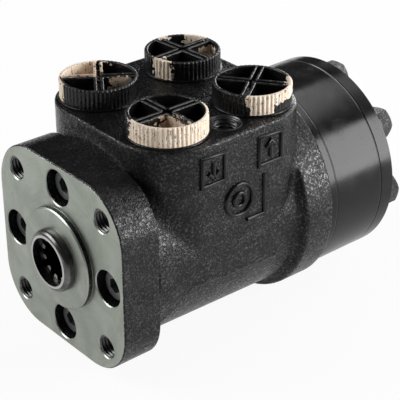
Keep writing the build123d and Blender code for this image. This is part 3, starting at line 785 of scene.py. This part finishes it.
def raisedLine(path, closed=False):
    # a low rounded ridge carried along a path on the side wall, mitred at its corners; the section is a
    # flat-topped bump that starts inside the casting
    path = np.array(path, float)
    before, after = np.roll(path, 1, 0), np.roll(path, -1, 0)
    if not closed:
        before[0], after[-1] = 2 * path[0] - path[1], 2 * path[-1] - path[-2]
    a, b = path - before, after - path
    a, b = a / np.linalg.norm(a, axis=1)[:, None], b / np.linalg.norm(b, axis=1)[:, None]
    normal = np.stack([-a[:, 1] - b[:, 1], a[:, 0] + b[:, 0]], 1)
    normal /= np.linalg.norm(normal, axis=1)[:, None]
    stretch = 1 / np.maximum(normal[:, 0] * -a[:, 1] + normal[:, 1] * a[:, 0], marks["leastMitre"])
    half, high, foot = marks["width"] / 2, marks["height"], marks["foot"]
    right = np.array([
        (half + foot, -marks["sunk"]), (half + 0.2, 0.0), (half, high * 0.6), (half * 0.55, high)])
    section = np.concatenate([right, right[::-1] * (-1, 1)])
    flat = path[:, None] + (normal * stretch[:, None])[:, None] * section[None, :, :1]
    depth = np.broadcast_to(marks["wall"] - section[:, 1], flat.shape[:2])
    rings = np.stack([flat[..., 0], depth, flat[..., 1]], -1)
    if closed:
        return ringGrid(rings)
    ends = [np.repeat(rings[k].mean(0)[None, None], len(section), 1) for k in (0, -1)]
    return poleGrid(np.concatenate([ends[0], rings, ends[1]]))


def castMarks():
    # two frames with an arrow in each, a double ring and a bent line
    grids = [raisedLine(border, True) for border in marks["frames"]]
    for tail, tip in marks["arrows"]:
        (x, z), head = tip, marks["arrowHead"]
        back = z + math.copysign(head, tail[1] - z)
        grids.append(raisedLine([tail, tip]))
        grids.append(raisedLine([(x - head, back), tip, (x + head, back)]))
    x, z, radius = marks["ring"]
    turn = np.linspace(0, 2 * np.pi, marks["ringSides"], endpoint=False)
    for r, around in ((radius, turn), (marks["innerRing"] * radius, turn[::2])):
        grids.append(raisedLine(np.stack([x + r * np.cos(around), z + r * np.sin(around)], 1), True))
    grids.append(raisedLine(marks["line"]))
    points, faces = joinGrids(grids)
    piece = putMesh("castMarks", points * mm, faces, marks["sharp"])
    added(piece, "housing", smoothPaint("markPaint"))


castMarks()
for name, node in nodes.items():
    if not node.hide_render:
        dress(node, paints[slotOf[name]])
print("marks done")


# metres; each lamp is azimuth and elevation in degrees, distance, width, height and watts, and the shares say
# how much of the floor is plain white to the camera, in reflections and through glass
stage = {
    "floorRadius": 3.0,
    "floorSides": 64,
    "floorGap": 0.0002,
    "floorTint": (0.9, 0.9, 0.9),
    "seenShare": 0.92,
    "glossyShare": 0.36,
    "clearShare": 0.9,
    "camera": (-0.26247, -0.39960, 0.28845),
    "right": (0.76383, -0.64541, -0.00252),
    "down": (-0.31371, -0.36785, -0.87538),
    "forward": (0.56405, 0.66942, -0.48344),
    "lens": 122.52,
    "sensor": 36.0,
    "world": 0.05,
    "lamps": [
        ("rightBox", -50, 16, 1.2, 0.75, 0.80, 18.5),
        ("topBox", -6, 53, 1.2, 0.95, 0.24, 2.6),
        ("leftBox", 140, 32, 1.3, 0.9, 0.7, 12.0),
        ("backBox", 22, 10, 1.3, 0.8, 0.6, 8.0),
    ],
}


def setCamera():
    # the camera's own axes are right, up and backwards
    lens = bpy.data.cameras.new("camera")
    lens.lens = stage["lens"]
    lens.sensor_width = stage["sensor"]
    camera = bpy.data.objects.new("camera", lens)
    turn = np.eye(4)
    axes = [stage["right"], -np.array(stage["down"]), -np.array(stage["forward"]), stage["camera"]]
    turn[:3] = np.stack(axes, 1)
    camera.matrix_world = turn.T.tolist()
    bpy.context.scene.collection.objects.link(camera)
    bpy.context.scene.camera = camera


def setFloor():
    # a level disc under the part
    radius, sides = stage["floorRadius"], stage["floorSides"]
    level = cadBox[0][2] - stage["floorGap"]
    angle = np.linspace(0, 2 * np.pi, sides, endpoint=False)
    points = np.stack([radius * np.cos(angle), radius * np.sin(angle), np.full(sides, level)], 1)
    mesh = bpy.data.meshes.new("floor")
    mesh.from_pydata(points, [], [list(range(sides))])
    floor = bpy.data.objects.new("floor", mesh)
    bpy.context.scene.collection.objects.link(floor)
    make = Finish("floorWhite")
    seen = make.add("ShaderNodeLightPath", out="Is Camera Ray")
    glossy = Wire(make.tree, seen.socket.node.outputs["Is Glossy Ray"])
    clear = Wire(make.tree, seen.socket.node.outputs["Is Transmission Ray"])
    share = (seen * stage["seenShare"]).most(glossy * stage["glossyShare"]).most(clear * stage["clearShare"])
    matt = make.add("ShaderNodeBsdfDiffuse", inputs={"Color": stage["floorTint"]})
    bright = make.add("ShaderNodeEmission", inputs={"Color": (1, 1, 1), "Strength": 1.0})
    mixed = make.add("ShaderNodeMixShader", inputs={0: share, 1: matt, 2: bright})
    floor.data.materials.append(make.surface(mixed))


def softBox(name, azimuth, elevation, distance, width, height, power):
    # an area lamp on a sphere round the part's middle, facing it
    middle = (np.array(cadBox[0]) + np.array(cadBox[1])) / 2
    a, e = math.radians(azimuth), math.radians(elevation)
    away = np.array([math.cos(e) * math.cos(a), math.cos(e) * math.sin(a), math.sin(e)])
    across = np.cross([0, 0, 1], away)
    across /= np.linalg.norm(across)
    lamp = bpy.data.lights.new(name, "AREA")
    lamp.shape = "RECTANGLE"
    lamp.size, lamp.size_y, lamp.energy = width, height, power
    holder = bpy.data.objects.new(name, lamp)
    turn = np.eye(4)
    turn[:3] = np.stack([across, np.cross(away, across), away, middle + distance * away], 1)
    holder.matrix_world = turn.T.tolist()
    bpy.context.scene.collection.objects.link(holder)


def setWorld():
    # dim light from all round, and white behind everything that the camera sees
    world = bpy.data.worlds.new("studio")
    make = Finish("studio", world)
    seen = make.add("ShaderNodeLightPath", out="Is Camera Ray")
    dim = make.add("ShaderNodeBackground", inputs={"Color": (stage["world"],) * 3, "Strength": 1.0})
    white = make.add("ShaderNodeBackground", inputs={"Color": (1, 1, 1), "Strength": 1.0})
    mixed = make.add("ShaderNodeMixShader", inputs={0: seen, 1: dim, 2: white})
    make.add("ShaderNodeOutputWorld", inputs={"Surface": mixed})
    bpy.context.scene.world = world


setCamera()
setFloor()
setWorld()
for lamp in stage["lamps"]:
    softBox(*lamp)
bpy.context.scene.view_settings.view_transform = "Standard"

print("scene ready")
